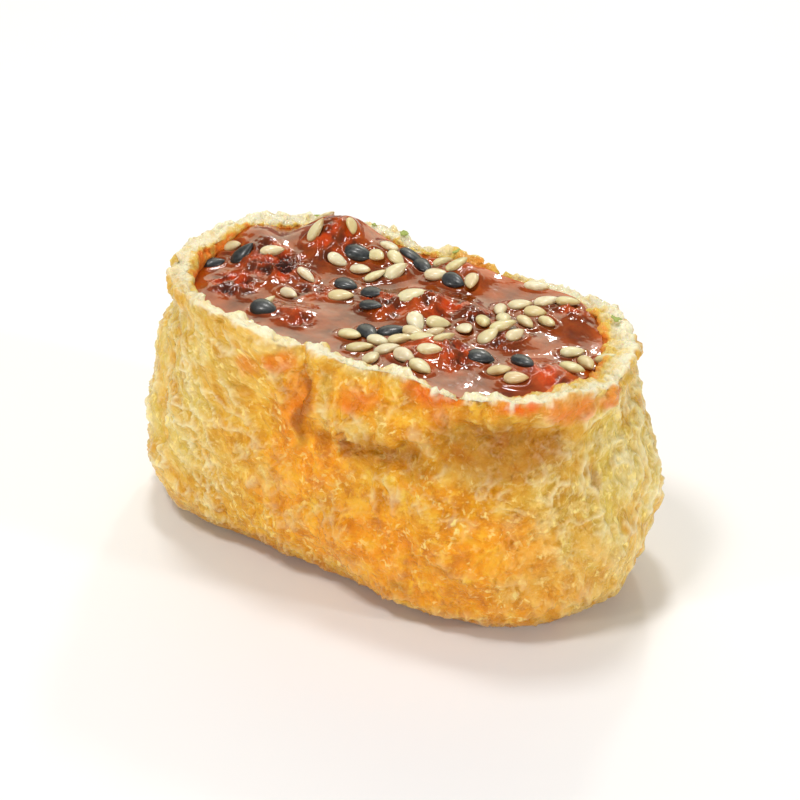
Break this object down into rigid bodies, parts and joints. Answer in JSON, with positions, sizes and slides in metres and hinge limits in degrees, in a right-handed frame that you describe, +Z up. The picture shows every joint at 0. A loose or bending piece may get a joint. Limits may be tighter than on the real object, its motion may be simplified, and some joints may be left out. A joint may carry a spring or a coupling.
{
  "type": "inari sushi",
  "caption": "Oblong open pouch of fried tofu skin, filled to its lip with chopped fish in glossy red sauce and sprinkled with sesame seeds.",
  "frame": {"origin": "centre of the rectangle round the pouch, on the surface it stands on", "axes": "+Z up, +X along the pouch, towards the end whose belly sits higher; +Y across it, towards the side the tallest lump of fish leans on"},
  "size_m": [0.0726, 0.0384, 0.0365],
  "materials": {
    "fried_tofu": "soaked fried tofu skin, crumpled and golden, moist sheen",
    "sauced_fish": "chopped fish in red sauce, wet and glossy",
    "white_sesame": "toasted white sesame seed, satin",
    "black_sesame": "black sesame seed, satin",
    "green_herb": "dried green seaweed flakes, matt"
  },
  "bodies": {
    "root": {"tofu_pouch": "fried_tofu", "filling": "sauced_fish"}
  },
  "joints": []
}
